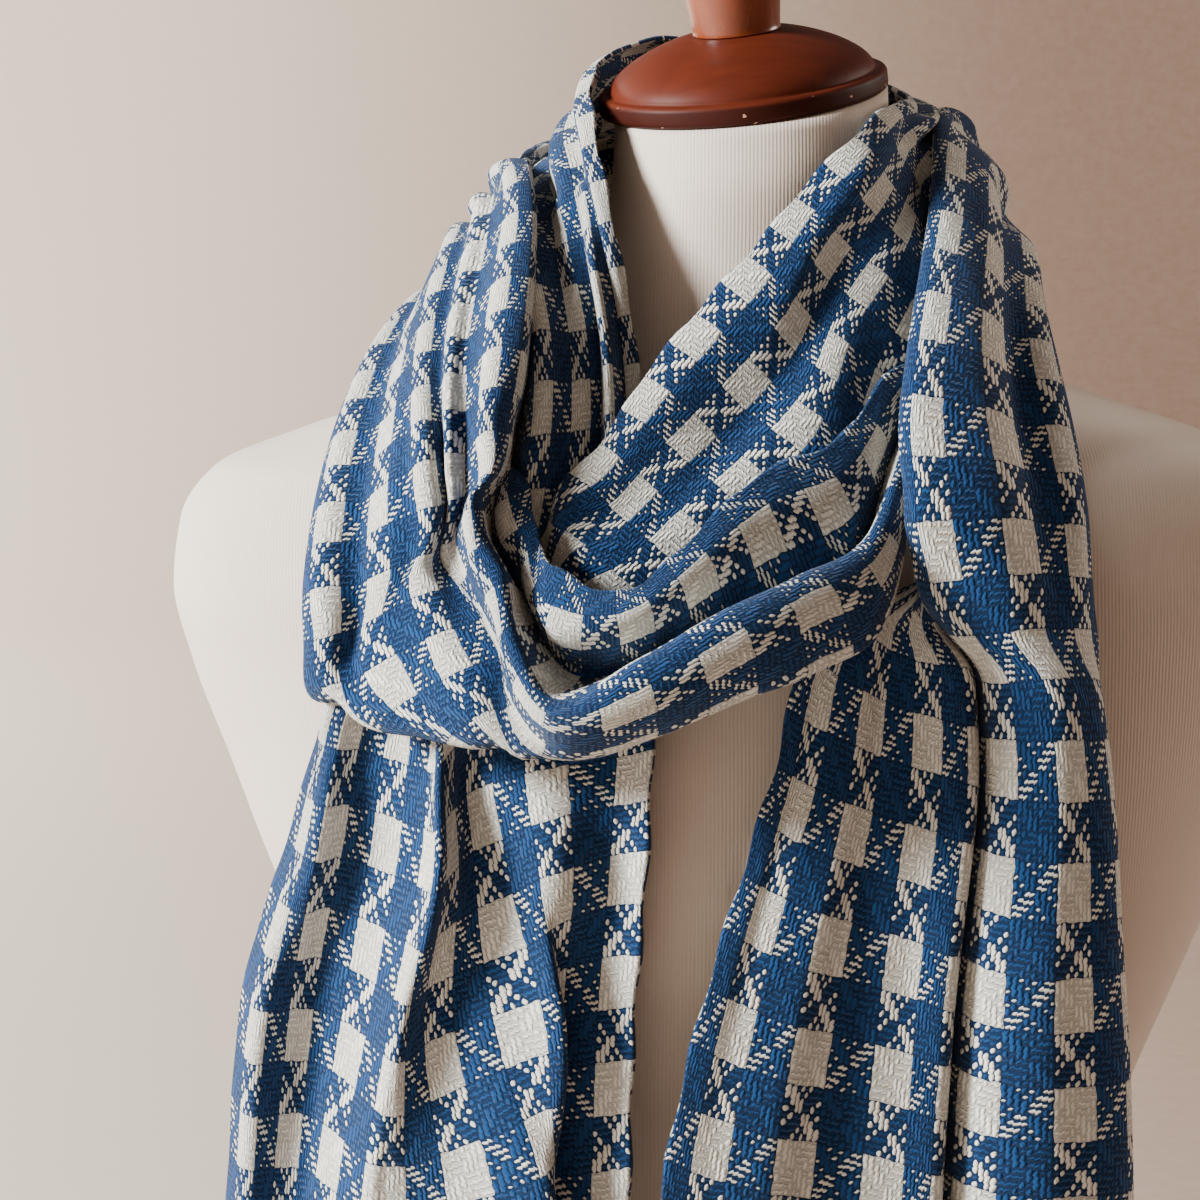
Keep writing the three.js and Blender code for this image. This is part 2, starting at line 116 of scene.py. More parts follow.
# The scarf's way round the form: neck side x, y, z, then outer side x, y, z, in mm
SECTIONS = np.array([
    (-49, -122, 236, -190, -52, 236),
    (-44, -120, 330, -184, -52, 330),
    (-42, -123, 400, -177, -60, 400),
    (-38, -126, 455, -160, -75, 455),
    (-36, -122, 500, -146, -86, 500),
    (-37, -107, 545, -130, -89, 545),
    (-39, -90, 590, -112, -76, 590),
    (-42, -74, 628, -99, -54, 618),
    (-48, -60, 661, -94, -31, 634),
    (-54, -38, 692, -93, -9, 626),
    (-56, -13, 710, -93, 12, 616.4),
    (-50, 22, 722, -80, 52, 624),
    (-28, 48, 729, -46, 80, 636),
    (0, 58, 725, 0, 88, 642),
    (30, 47, 718, 44, 78, 642),
    (50, 20, 711, 67, 46, 646),
    (54, -6, 706, 75, 4, 646),
    (45, -33, 704, 76, -38, 630),
    (33, -55, 695, 69, -68, 603),
    (14, -64, 676, 49, -91, 578),
    (-1, -72, 658, 35, -118, 536),
    (-20, -80, 637, 14, -133, 521),
    (-37, -90, 617, -8, -140, 514),
    (-52, -101, 595, -36, -142, 503),
    (-66, -108, 580, -64, -139, 496),
    (-69, -110, 573, -93, -131, 498),
    (-73, -109, 577, -124, -113, 502),
    (-78, -106, 585, -146, -98, 508),
    (-81, -103, 597, -151, -93, 530),
    (-78.5, -97, 613, -150, -81, 556),
    (-76.5, -81, 634, -145, -59, 586),
    (-75.5, -59, 656, -136, -34, 610),
    (-76, -36, 674, -124, -14, 626),
    (-77, -9, 685, -114, 8, 634),
    (-79, 26, 688, -109, 50, 626),
    (-60, 70, 697, -84, 96, 624),
    (0, 93, 702, 0, 118, 622),
    (58, 71, 701, 82, 92, 628),
    (72, 36, 701, 98, 46, 636),
    (65.5, 6, 702, 98, 4, 643),
    (62.5, -24, 692, 98, -22, 644),
    (59, -55, 668, 97, -45, 634),
    (50, -92, 629, 99, -68, 618),
    (45, -109, 600, 103, -83, 595),
    (45, -118, 575, 106, -95, 571),
    (41, -115, 553, 108, -101, 546),
    (28, -111, 539, 110, -103, 528),
    (13, -113, 524, 111, -105, 508),
    (3, -121, 488, 114, -107, 476),
    (-9, -126, 450, 117, -106, 440),
    (-22, -128, 405, 121, -100, 398),
    (-33, -129, 352, 124, -96, 345),
    (-44, -129, 250, 127, -94, 245),
], float)

# Stretches of the scarf: node, first section, last section, what the stretch rests on
STRETCHES = (
    ("tail_left", 0, 10, ("form_body",)),
    ("neck_back_inner", 10, 16, ("form_body",)),
    ("loop_front", 16, 33, ("form_body", "tail_left")),
    ("neck_back_outer", 33, 39, ("neck_back_inner",)),
    ("tail_right", 39, 52, ("form_body", "loop_front")),
)

# Fold rows: the stripe that each fold line follows, then at each named section the share of the way across
# (0 at the neck side) and the rise outwards in mm
STRIPES = np.array([16, 15, 13.6, 12.5, 11, 9.5, 8.3, 7.5, 7, 5.5, 4, 3, 1.5, 0], float)
FOLDS = (
    # left hem
    (0,
     (0, 0.09, 0.2, 0.21, 0.13, 0.25, 0.38, 0.47, 0.54, 0.68, 0.8, 0.86, 0.91, 0.994),
     (0, 0, 2, 6, 18, 22, 23, 24, 25, 14, 7, 9, 14, 2)),
    # left, below the breast
    (1,
     (0, 0.09, 0.204, 0.17, 0.115, 0.297, 0.418, 0.496, 0.55, 0.698, 0.802, 0.853, 0.905, 0.994),
     (0, 0, 2, 10, 20, 21, 24, 28, 30, 14, 6, 9, 15, 2)),
    # left chest
    (2,
     (0, 0.09, 0.185, 0.125, 0.287, 0.427, 0.467, 0.484, 0.522, 0.661, 0.795, 0.843, 0.897, 0.997),
     (0, 0, 5, 15, 16, 19, 26, 30, 26, 9, 5, 9, 16, 1)),
    # left breast
    (3,
     (0, 0.103, 0.197, 0.288, 0.433, 0.466, 0.47, 0.515, 0.565, 0.699, 0.827, 0.862, 0.926, 1),
     (0, -1, 12, 13, 10, 20, 28, 22, 14, 5, 4, 14, 9, 0)),
    # left, just under the loop
    (4,
     (0, 0.1, 0.28, 0.4, 0.52, 0.56, 0.585, 0.605, 0.63, 0.74, 0.86, 0.91, 0.965, 1),
     (0, 0, 6, 7, 6, 12, 13, 11, 8, 3, 3, 7, 5, 0)),
    # left, behind the loop
    (5,
     (0, 0.07, 0.16, 0.22, 0.33, 0.43, 0.5, 0.55, 0.59, 0.69, 0.79, 0.85, 0.93, 1),
     (0, 1, 4, 5, 2, 5, 4, 5, 5, 2, 4, 2, 4, 0)),
    # left of the neck
    (8,
     (0, 0.05, 0.12, 0.2, 0.32, 0.42, 0.5, 0.56, 0.6, 0.7, 0.8, 0.86, 0.93, 1),
     (0, 3, 0, 6, 2, 7, 2, 5, 6, 1, 6, 3, 5, 0)),
    # inner turn behind the neck
    (13,
     (0, 0.07, 0.16, 0.25, 0.36, 0.46, 0.54, 0.6, 0.64, 0.73, 0.82, 0.87, 0.94, 1),
     (0, 4, 0, 6, 1, 7, 2, 5, 6, 1, 6, 3, 5, 0)),
    # right of the neck
    (16,
     (0, 0.07, 0.15, 0.22, 0.32, 0.41, 0.48, 0.53, 0.57, 0.66, 0.75, 0.81, 0.9, 1),
     (0, 2, 0, 2.5, 0, 2.5, 0.5, 2, 2.5, 0, 2, 0.5, 2, 0)),
    # loop folded lengthwise
    (19,
     (0, 0.09, 0.23, 0.34, 0.48, 0.72, 0.94, 1, 0.985, 0.92, 0.85, 0.86, 0.76, 0.66),
     (1, 3, 2, 1, 3, 1, 2, 5, 9, 14, 15, 4, 12, 12)),
    # loop, its front flap opening
    (21,
     (0, 0.11, 0.25, 0.36, 0.52, 0.76, 0.96, 1, 0.985, 0.88, 0.79, 0.82, 0.63, 0.5),
     (2, 4, 1, 2, 2, 1, 3, 8, 14, 24, 21, 1, 17, 18)),
    # loop at the middle
    (23,
     (0, 0.12, 0.25, 0.37, 0.54, 0.82, 0.98, 1.01, 1.01, 0.95, 0.82, 0.76, 0.67, 0.565),
     (2, 4, 2, 3, 1, 0, 3, 8, 15, 29, 29, -1, 21, 21)),
    # loop at its lowest, where the fold turns over
    (24,
     (0, 0.1, 0.22, 0.36, 0.6, 0.9, 1, 1.01, 0.99, 0.92, 0.84, 0.68, 0.56, 0.33),
     (2, 4, 2, 1, 0, 2, 5, 9, 14, 27, 26, 0, 20, 17)),
    # loop, past its lowest
    (24.5,
     (0.03, 0.2, 0.42, 0.62, 0.9, 1.01, 0.97, 0.9, 0.84, 0.74, 0.6, 0.5, 0.4, 0.2),
     (1, 1, 0, 0, 1, 6, 9, 10, 13, 24, 24, 3, 15, 10)),
    # loop, the fold turned to its next stripes
    (25,
     (0.1, 0.4, 0.75, 0.96, 1, 0.84, 0.65, 0.6, 0.56, 0.45, 0.33, 0.37, 0.23, 0.08),
     (0, -1, -1, 0, 7, 13, 9, 8, 12, 24, 22, 3, 12, 9)),
    # loop under the left breast
    (26,
     (0.4, 0.7, 1, 0.97, 0.77, 0.56, 0.46, 0.41, 0.36, 0.24, 0.19, 0.26, 0.13, 0),
     (-2, -2, 0, 8, 11, 14, 8, 7, 11, 24, 20, 4, 12, 8)),
    # loop beside the left breast
    (27,
     (0.85, 1, 0.91, 0.8, 0.61, 0.41, 0.37, 0.33, 0.27, 0.12, 0.08, 0.12, 0.06, 0),
     (-2, 1, 10, 9, 13, 15, 8, 10, 9, 22, 18, 4, 7, 4)),
    # loop on the left breast
    (28,
     (0.92, 0.99, 0.86, 0.71, 0.52, 0.32, 0.285, 0.235, 0.19, 0.04, -0.03, -0.01, 0.02, 0.1),
     (-4, 3, 12, 8, 13, 16, 7, 13, 7, 18, 12, 5, 1, -1)),
    # loop, climbing to the left shoulder
    (30,
     (0.92, 1, 0.86, 0.73, 0.57, 0.43, 0.36, 0.28, 0.22, 0.04, -0.05, -0.03, 0.02, 0.12),
     (-4, 1, 8, 4, 8, 12, 8, 12, 8, 13, 8, 3, -1, -2)),
    # loop on the left shoulder
    (32,
     (0.95, 1, 0.9, 0.8, 0.66, 0.5, 0.4, 0.28, 0.2, 0.04, -0.03, 0, 0.08, 0.2),
     (-4, 0, 5, 2, 6, 9, 6, 9, 6, 8, 4, 1, -1, -3)),
    # loop, turning behind the left shoulder
    (34,
     (0.7, 0.85, 0.98, 0.92, 0.78, 0.62, 0.52, 0.42, 0.35, 0.2, 0.1, 0.07, 0.1, 0.2),
     (-3, -3, 1, 3, 8, 9, 1, 9, 1, 9, 2, 2, -1, -3)),
    # outer turn behind the neck
    (36,
     (0.08, 0.3, 0.75, 0.97, 0.9, 0.75, 0.62, 0.55, 0.5, 0.36, 0.22, 0.16, 0.06, 0),
     (-1, -2, -2, 1, 11, 4, 15, 9, 5, 16, 5, 12, 6, 3)),
    # outer turn, its top rolling under
    (37,
     (0.5, 0.7, 0.97, 1, 0.85, 0.68, 0.55, 0.48, 0.42, 0.27, 0.12, 0.04, 0.06, 0.2),
     (-4, -3, -1, 5, 13, 4, 15, 9, 4, 17, 6, 6, -3, -3)),
    # outer turn behind the right shoulder
    (38,
     (0.85, 1, 0.93, 0.75, 0.52, 0.3, 0.14, 0.06, 0.02, 0.06, 0.2, 0.32, 0.44, 0.56),
     (-3, 0, 7, 2, 11, 4, 8, 4, 2, -1.5, -2, -2, -2, -2)),
    # right shoulder
    (40,
     (0.9, 1, 0.86, 0.62, 0.34, 0.1, 0, 0.03, 0.1, 0.25, 0.4, 0.5, 0.62, 0.74),
     (-3, 1, 6, 4, 8, 5, 2, -1, -1.5, -2, -2, -2, -2, -2)),
    # right, beside the loop
    (44,
     (0.92, 1, 0.9, 0.72, 0.42, 0.08, 0, 0.03, 0.09, 0.22, 0.33, 0.4, 0.48, 0.56),
     (-2, 3, 10, 9, 15, 10, 4, 0, -1, -1.5, -2, -2.5, -3, -4)),
    # right, where the panel turns out
    (45,
     (0.92, 1, 0.92, 0.77, 0.52, 0.23, 0.13, 0.13, 0.16, 0.22, 0.25, 0.26, 0.26, 0.25),
     (-1, 3, 11, 13, 18, 11, 6, 3, 1.5, 0, -1.5, -3, -5, -7)),
    # right, top of the panel
    (46,
     (0.92, 1, 0.94, 0.83, 0.63, 0.43, 0.38, 0.36, 0.34, 0.27, 0.2, 0.15, 0.07, 0),
     (0, 4, 12, 17, 20, 10, 2, 1, 1.5, 2, 1.5, 2, 1.5, 1)),
    # right, the panel spread
    (47,
     (0.88, 0.97, 0.985, 0.92, 0.78, 0.63, 0.59, 0.565, 0.53, 0.42, 0.29, 0.21, 0.085, 0),
     (-2, 5, 14, 20, 24, 14, -2, 7, 10, 7, 3, 5, 4, 2)),
    # right chest
    (50,
     (0.88, 0.965, 0.985, 0.93, 0.79, 0.64, 0.605, 0.58, 0.55, 0.46, 0.315, 0.22, 0.085, 0),
     (-3, 5, 16, 22, 26, 15, -4, 10, 13, 8, 3, 6, 4, 2)),
    # right hem
    (52,
     (0.88, 0.965, 0.985, 0.93, 0.79, 0.64, 0.605, 0.58, 0.55, 0.46, 0.315, 0.22, 0.085, 0),
     (-3, 6, 17, 23, 27, 15, -5, 11, 14, 9, 3, 7, 4, 2)),
)


# Section, mm of cloth from selvedge to selvedge that it keeps at the least, in pleats where need be
BUNCHED = np.array([(0, 0), (3, 120), (4.5, 150), (7, 140), (8.2, 95), (9.6, 92), (10.5, 125),
                    (15, 145), (16.5, 112), (18, 0), (52, 0)], float)

# Section, mm from one pick to the next
PICK_PITCH = np.array([(0, 2.45), (4, 2.3), (8, 2.1), (13, 1.9), (22, 1.85), (28, 1.85), (35, 1.9), (39, 2.1),
                       (43, 2.25), (46, 2.35), (52, 2.4)], float)
PICK_ROUNDS = 700                # rounds of the search for the picks at every point

# Section, picks by which each next stripe lags where the cloth hangs askew: in the half with the blue
# selvedge, and in the half with the cream one
ASKEW = np.array([(0, 0.2, 1.7), (4, 0.2, 1.7), (7, 0.1, 0.6), (10, 0, 0), (40, 0, 0), (44, 0.9, 0.4),
                  (52, 1.0, 0.5)], float)

# Soft creases pressed into the cloth: first and last section, stripe at either end, half width in stripes,
# depth in mm (below 0 for a ridge)
CREASES = (
    (0.6, 4, 11.0, 12.6, 0.6, 1.8),
    (0.2, 2.6, 4.6, 4.2, 0.5, 1.8),
    (1.4, 3.6, 9.9, 10.6, 0.4, 1.6),
    (18.6, 23.2, 13.1, 12.3, 0.7, 3.2),
    (17.4, 20.6, 14.6, 14.2, 0.5, -2.0),
    (20.2, 24.4, 10.6, 11.0, 0.6, 2.2),
    (25.4, 29.6, 12.2, 12.6, 0.5, 2.4),
    (26.2, 30.2, 10.4, 10.2, 0.4, 2.0),
    (33.6, 38.4, 13.4, 12.8, 0.7, 3.0),
    (34.2, 37.2, 10.2, 10.8, 0.6, 3.0),
    (35.0, 38.0, 4.6, 5.2, 0.7, 2.6),
    (11.2, 15.2, 12.4, 12.0, 0.7, 2.4),
    (41.0, 44.6, 12.6, 12.0, 0.5, 2.2),
    (45.8, 50.4, 5.2, 5.6, 0.7, 2.4),
    (47.2, 52, 11.8, 11.4, 0.5, 2.2),
    (48.5, 52, 3.2, 2.8, 0.6, -2.0),
    (46.6, 51.2, 1.2, 1.6, 0.4, 1.4),
)


def smooth_between(table, places):
    """Rows of a table at fractional places, on a smooth curve through them."""
    table = np.asarray(table, float)
    last = len(table) - 1
    i = np.clip(np.floor(places).astype(int), 0, last - 1)
    t = (places - i).reshape(-1, *[1] * (table.ndim - 1))
    padded = np.concatenate([[2 * table[0] - table[1]], table, [2 * table[-1] - table[-2]]])
    p0, p1, p2, p3 = (padded[i + k] for k in range(4))
    bend = 2 * p0 - 5 * p1 + 4 * p2 - p3 + t * (3 * (p1 - p2) + p3 - p0)
    return p1 + 0.5 * t * (p2 - p0 + t * bend)


def hermite(t, low, high, slope_low, slope_high):
    """A value between two, for t from 0 to 1, on a cubic curve with the given slopes at its ends."""
    return ((2 * t**3 - 3 * t**2 + 1) * low + (t**3 - 2 * t**2 + t) * slope_low
            + (3 * t**2 - 2 * t**3) * high + (t**3 - t**2) * slope_high)


def folds_at(place):
    """Share and rise of every fold line at a place along the scarf, on curves through the named rows."""
    named = [row[0] for row in FOLDS]
    high = min(max(int(np.searchsorted(named, place)), 1), len(FOLDS) - 1)
    low = high - 1
    span = named[high] - named[low]
    t = (place - named[low]) / span
    around = [min(max(k, 0), len(FOLDS) - 1) for k in range(low - 1, high + 2)]
    places = [named[k] for k in around]
    share_and_rise = []
    for column in (1, 2):
        rows = [np.array(FOLDS[k][column]) for k in around]
        slope_low = (rows[2] - rows[0]) / (places[2] - places[0]) * span
        slope_high = (rows[3] - rows[1]) / (places[3] - places[1]) * span
        share_and_rise.append(hermite(t, rows[1], rows[2], slope_low, slope_high))
    return share_and_rise


def pleat_wave(stripes, depth):
    """Pleats across the cloth, uneven in width and depth, that lift it by up to about a given depth."""
    phase = PLEATS * stripes / STRIPE_COUNT + PLEAT_DRIFT * np.sin(0.9 * stripes + 0.6)
    uneven = 1 - PLEAT_UNEVEN + PLEAT_UNEVEN * np.sin(0.8 * stripes + 1.1)
    wave = 0.5 - 0.5 * np.cos(2 * math.pi * phase)
    edge = np.clip(np.minimum(stripes, STRIPE_COUNT - stripes) / SELVEDGE_FADE, 0, 1)
    return depth * uneven * wave * edge


def gathered(share, rise, span, stripes, least):
    """The rise with pleats just deep enough that the cloth keeps enough of its width where it is bunched."""
    across = np.diff(share) * span
    if np.hypot(across, np.diff(rise)).sum() >= least:
        return rise
    shallow, deep = 0.0, DEEPEST_PLEAT
    for _ in range(PLEAT_HALVINGS):
        depth = (shallow + deep) / 2
        arc = np.hypot(across, np.diff(rise + pleat_wave(stripes, depth))).sum()
        shallow, deep = (depth, deep) if arc < least else (shallow, depth)
    return rise + pleat_wave(stripes, depth)


def creased(place, stripes):
    """How far the soft creases sink the cloth at a place along the scarf."""
    sunk = np.zeros(len(stripes))
    for first, last, start, end, half, depth in CREASES:
        if first < place < last:
            t = (place - first) / (last - first)
            centre = start + (end - start) * t
            sunk += depth * math.sin(math.pi * t) * np.exp(-((stripes - centre) / half) ** 2)
    return sunk


def square_picks(grid, pitch):
    """Picks counted at every point so that the rows of weft lie as square to the warp as the folds allow.

    Each step of the grid wishes for a rise in the count. Conjugate gradients bring down the sum of the
    squared misses, weighted by area.
    """
    along, across = np.diff(grid, axis=0), np.diff(grid, axis=1)
    warp = np.gradient(grid, axis=0)
    warp /= np.linalg.norm(warp, axis=2, keepdims=True)
    along_length = np.linalg.norm(along, axis=2)
    across_length = np.linalg.norm(across, axis=2)
    wish_along = along_length * 2 / (pitch[1:] + pitch[:-1])[:, None]
    wish_across = (across * (warp[:, 1:] + warp[:, :-1]) / 2).sum(axis=2) / pitch[:, None]
    column_width = (np.pad(across_length, ((0, 0), (1, 0))) + np.pad(across_length, ((0, 0), (0, 1)))) / 2
    row_height = (np.pad(along_length, ((1, 0), (0, 0))) + np.pad(along_length, ((0, 1), (0, 0)))) / 2
    pull_along = (column_width[1:] + column_width[:-1]) / 2 / along_length
    pull_across = (row_height[:, 1:] + row_height[:, :-1]) / 2 / across_length

    def gathered_at_points(on_along, on_across):
        total = np.zeros(grid.shape[:2])
        total[1:] += on_along
        total[:-1] -= on_along
        total[:, 1:] += on_across
        total[:, :-1] -= on_across
        return total

    def pulled(values):
        return gathered_at_points(pull_along * np.diff(values, axis=0), pull_across * np.diff(values, axis=1))

    weight = np.zeros(grid.shape[:2])
    weight[1:] += pull_along
    weight[:-1] += pull_along
    weight[:, 1:] += pull_across
    weight[:, :-1] += pull_across
    counted = np.concatenate([[0], np.cumsum(wish_along.mean(axis=1))])
    picks = np.repeat(counted[:, None], grid.shape[1], axis=1)
    error = gathered_at_points(pull_along * wish_along, pull_across * wish_across) - pulled(picks)
    eased = error / weight
    heading, left = eased.copy(), (error * eased).sum()
    for _ in range(PICK_ROUNDS):
        effect = pulled(heading)
        step = left / (heading * effect).sum()
        picks += step * heading
        error -= step * effect
        eased = error / weight
        left, before = (error * eased).sum(), left
        heading = eased + heading * (left / before)
    return picks


def scarf_grid():
    """The stripe of each point in a ring, the rings along the cloth's middle, its way and its picks."""
    places = np.linspace(0, len(SECTIONS) - 1, (len(SECTIONS) - 1) * LENGTH_STEPS + 1)
    rows = np.linspace(0, len(STRIPES) - 1, (len(STRIPES) - 1) * FOLD_STEPS + 1)
    stripes = np.interp(rows, np.arange(len(STRIPES)), STRIPES)
    rails = smooth_between(SECTIONS, places)
    neck, outer = rails[:, :3], rails[:, 3:]
    middle = (neck + outer) / 2
    along = np.gradient(middle, axis=0)
    outward = np.cross(along, outer - neck)
    outward /= np.linalg.norm(outward, axis=1, keepdims=True)
    least = np.interp(places, BUNCHED[:, 0], BUNCHED[:, 1])
    grid = np.empty((len(places), len(rows), 3))
    for k, place in enumerate(places):
        share, rise = (smooth_between(column, rows) for column in folds_at(place))
        span = np.linalg.norm(outer[k] - neck[k])
        rise = gathered(share, rise, span, stripes, least[k]) - creased(place, stripes)
        grid[k] = neck[k] + share[:, None] * (outer - neck)[k] + rise[:, None] * outward[k]
    steps = np.linalg.norm(np.diff(middle, axis=0), axis=1)
    travelled = np.concatenate([[0], np.cumsum(steps)])
    picks = square_picks(grid, np.interp(places, PICK_PITCH[:, 0], PICK_PITCH[:, 1]))
    from_middle = stripes - STRIPE_COUNT / 2
    blue_lag, cream_lag = (np.interp(places, ASKEW[:, 0], ASKEW[:, k])[:, None] for k in (1, 2))
    picks -= blue_lag * np.minimum(from_middle, 0) + cream_lag * np.maximum(from_middle, 0)
    picks += PICKS_START - picks.min()
    swing = SCALLOP * np.cos(math.pi * picks / PICKS_PER_BAND)
    for edge, inner in ((0, 1), (-1, -2)):
        way = grid[:, edge] - grid[:, inner]
        way /= np.linalg.norm(way, axis=1, keepdims=True)
        grid[:, edge] += way * swing[:, [edge]]
    return stripes, grid, travelled, picks


def grid_normals(grid):
    """Unit normals at every point, which face outwards where the cloth isn't folded back."""
    along = np.gradient(grid, axis=0)
    across = np.gradient(grid, axis=1)
    normals = np.cross(along, across)
    return normals / np.maximum(np.linalg.norm(normals, axis=2, keepdims=True), 1e-9)


def new_object(name, mesh):
    """A smooth-shaded object in the scene, made from a mesh."""
    piece = bpy.data.objects.new(name, mesh)
    bpy.context.scene.collection.objects.link(piece)
    for polygon in mesh.polygons:
        polygon.use_smooth = True
    return piece


def dress(piece, material, node):
    """Gives a piece its material, hangs it on the root body and hides the imported part that it takes the
    place of.
    """
    piece.data.materials.append(material)
    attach(piece, "root")
    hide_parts(node)


def cloth_piece(name, grid, normals, half, ends, picks):
    """A thin closed shell: outer skin, inner skin and rims, with the yarn counts as its UV map."""
    ring_count, point_count = grid.shape[:2]
    points = np.concatenate([(grid + normals * half).reshape(-1, 3), (grid - normals * half).reshape(-1, 3)])
    inner = ring_count * point_count
    i, j = np.meshgrid(np.arange(ring_count - 1), np.arange(point_count - 1), indexing="ij")
    a = (i * point_count + j).ravel()
    outer_faces = np.stack([a, a + point_count, a + point_count + 1, a + 1], 1)
    inner_faces = outer_faces[:, ::-1] + inner
    rims = []
    for edge, flip in ((np.arange(ring_count) * point_count, False),
                       (np.arange(ring_count) * point_count + point_count - 1, True),
                       (np.arange(point_count), True),
                       (np.arange(point_count) + (ring_count - 1) * point_count, False)):
        rim = np.stack([edge[:-1], edge[:-1] + inner, edge[1:] + inner, edge[1:]], 1)
        rims.append(rim[:, ::-1] if flip else rim)
    faces = np.concatenate([outer_faces, inner_faces, *rims])
    mesh = bpy.data.meshes.new(name)
    mesh.from_pydata((points * MM).tolist(), [], faces.tolist())
    layer = mesh.uv_layers.new(name="weave")
    loops = np.empty(len(mesh.loops), int)
    mesh.loops.foreach_get("vertex_index", loops)
    uv = np.stack([np.tile(ends.ravel(), 2), np.tile(picks.ravel(), 2)], 1)
    layer.data.foreach_set("uv", (uv[loops] / UV_SCALE).ravel())
    return new_object(name, mesh)


def make_scarf(material):
    """Every stretch of the scarf, taken from one grid so that the weave runs on from each to the next."""
    stripes, grid, travelled, picks = scarf_grid()
    normals = grid_normals(grid)
    ends = np.tile(stripes * ENDS_PER_STRIPE, (len(grid), 1))
    from_hem = np.minimum(travelled, travelled[-1] - travelled)
    half = np.where(from_hem < HEM, HEM_THICK / 2, CLOTH_THICK / 2)[:, None, None]
    for node, first, last, rests_on in STRETCHES:
        rings = slice(first * LENGTH_STEPS, last * LENGTH_STEPS + 1)
        stretch = (values[rings] for values in (grid, normals, half, ends, picks))
        piece = cloth_piece("scarf_" + node, *stretch)
        dress(piece, material, node)


class Nodes:
    """Short calls for building a material's or a group's nodes."""

    def __init__(self, tree):
        self.tree = tree
        self.tree.nodes.clear()

    def add(self, kind, **settings):
        node = self.tree.nodes.new(kind)
        for key, value in settings.items():
            setattr(node, key, value)
        return node

    def link(self, source, socket):
        """Joins an output to a socket, or sets the socket's value."""
        if hasattr(source, "is_output"):
            self.tree.links.new(source, socket)
        else:
            socket.default_value = source

    def math(self, operation, *values):
        node = self.add("ShaderNodeMath", operation=operation)
        for socket, value in zip(node.inputs, values):
            self.link(value, socket)
        return node.outputs[0]

    def mix(self, factor, low, high):
        node = self.add("ShaderNodeMix", data_type="RGBA")
        self.link(factor, node.inputs["Factor"])
        self.link(low, node.inputs[6])
        self.link(high, node.inputs[7])
        return node.outputs[2]

    def noise(self, vector, scale, detail=2, roughness=0.5):
        node = self.add("ShaderNodeTexNoise")
        self.link(vector, node.inputs["Vector"])
        node.inputs["Scale"].default_value = scale
        node.inputs["Detail"].default_value = detail
        node.inputs["Roughness"].default_value = roughness
        return node.outputs["Fac"]

    def split(self, vector):
        """The x, y and z of a vector."""
        node = self.add("ShaderNodeSeparateXYZ")
        self.link(vector, node.inputs[0])
        return node.outputs

    def vector(self, x, y, z=0.0):
        node = self.add("ShaderNodeCombineXYZ")
        for socket, value in zip(node.inputs, (x, y, z)):
            self.link(value, socket)
        return node.outputs[0]


def linear(red, green, blue):
    """A colour given in 0 to 255 steps, as the linear values that shaders use."""
    steps = [c / 255 for c in (red, green, blue)]
    return (*[c / 12.92 if c <= 0.04045 else ((c + 0.055) / 1.055) ** 2.4 for c in steps], 1)


# Weave chart, one row for each of 8 picks, 1 where the warp lies on top
WEAVE_CHART = ("11010100", "11101000", "01110001", "10110010", "01001101", "10001110", "00010111", "00101011")
CHART_SIDE = len(WEAVE_CHART)


def weave_group():
    """A node group that says whether the warp lies on top where a given end crosses a given pick.

    A ramp holds each row of the chart as a binary fraction, which is shifted left to read its digit.
    """
    group = bpy.data.node_groups.new("warp_on_top", "ShaderNodeTree")
    group.interface.new_socket("End", in_out="INPUT", socket_type="NodeSocketFloat")
    group.interface.new_socket("Pick", in_out="INPUT", socket_type="NodeSocketFloat")
    group.interface.new_socket("Warp", in_out="OUTPUT", socket_type="NodeSocketFloat")
    n = Nodes(group)
    crossing = n.add("NodeGroupInput")
    out = n.add("NodeGroupOutput")
    end = n.math("FLOORED_MODULO", crossing.outputs["End"], CHART_SIDE)
    pick = n.math("FLOORED_MODULO", crossing.outputs["Pick"], CHART_SIDE)
    ramp = n.add("ShaderNodeValToRGB")
    ramp.color_ramp.interpolation = "CONSTANT"
    stops = ramp.color_ramp.elements
    while len(stops) < CHART_SIDE:
        stops.new(0.5)
    for k, row in enumerate(WEAVE_CHART):
        stops[k].position = k / CHART_SIDE
        code = int(row, 2) / 2 ** CHART_SIDE
        stops[k].color = (code, code, code, 1)
    n.link(n.math("DIVIDE", n.math("ADD", n.math("FLOOR", pick), 0.5), CHART_SIDE), ramp.inputs["Fac"])
    shift = n.math("POWER", 2.0, n.math("ADD", n.math("FLOOR", end), 1.0))
    shifted = n.math("FLOOR", n.math("ADD", n.math("MULTIPLY", ramp.outputs["Color"], shift), 0.001))
    n.link(n.math("FLOORED_MODULO", shifted, 2.0), out.inputs["Warp"])
    return group


def finished(n, material, colour, relief, relief_mm, roughness,
             coat=0.0, specular=0.5, sheen=0.0, strength=0.8):
    """The material, with its colour, relief and gloss joined to its shader and output."""
    shader = n.add("ShaderNodeBsdfPrincipled")
    n.link(colour, shader.inputs["Base Color"])
    n.link(roughness, shader.inputs["Roughness"])
    shader.inputs["Specular IOR Level"].default_value = specular
    shader.inputs["Sheen Weight"].default_value = sheen
    shader.inputs["Coat Weight"].default_value = coat
    if coat:
        shader.inputs["Coat Roughness"].default_value = 0.12
    bump = n.add("ShaderNodeBump")
    bump.inputs["Strength"].default_value = strength
    bump.inputs["Distance"].default_value = relief_mm * MM
    n.link(relief, bump.inputs["Height"])
    n.link(bump.outputs[0], shader.inputs["Normal"])
    output = n.add("ShaderNodeOutputMaterial")
    n.link(shader.outputs[0], output.inputs["Surface"])
    return material


